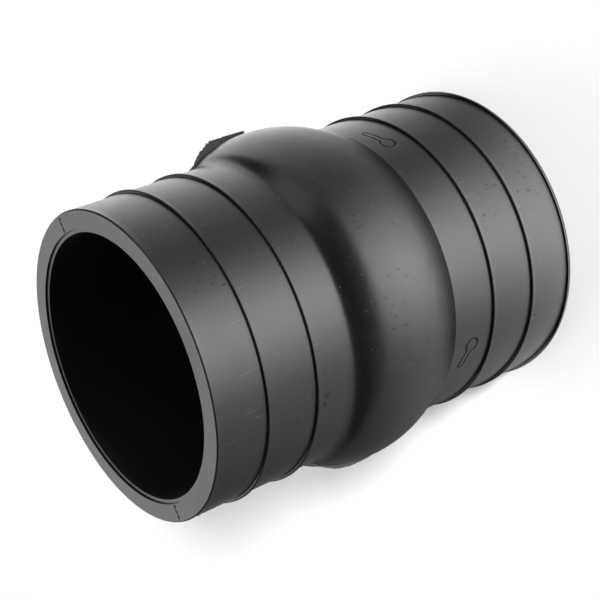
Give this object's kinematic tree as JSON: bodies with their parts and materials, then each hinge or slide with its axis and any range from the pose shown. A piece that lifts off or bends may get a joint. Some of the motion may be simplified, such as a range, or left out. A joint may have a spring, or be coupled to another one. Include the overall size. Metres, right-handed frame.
{
  "type": "exhaust bellows",
  "caption": "Flexible black rubber exhaust sleeve: two ribbed cuffs that clamp over pipe ends, joined by one smooth hump.",
  "frame": {"origin": "centre of the far end face, on which the bellows stands", "axes": "+Z along the bore axis from the far end to the near end, +X in the mould's parting plane"},
  "size_m": [0.1388, 0.134, 0.1692],
  "materials": {
    "rubber": "satin"
  },
  "bodies": {
    "root": {"bellows": "rubber"}
  },
  "joints": []
}
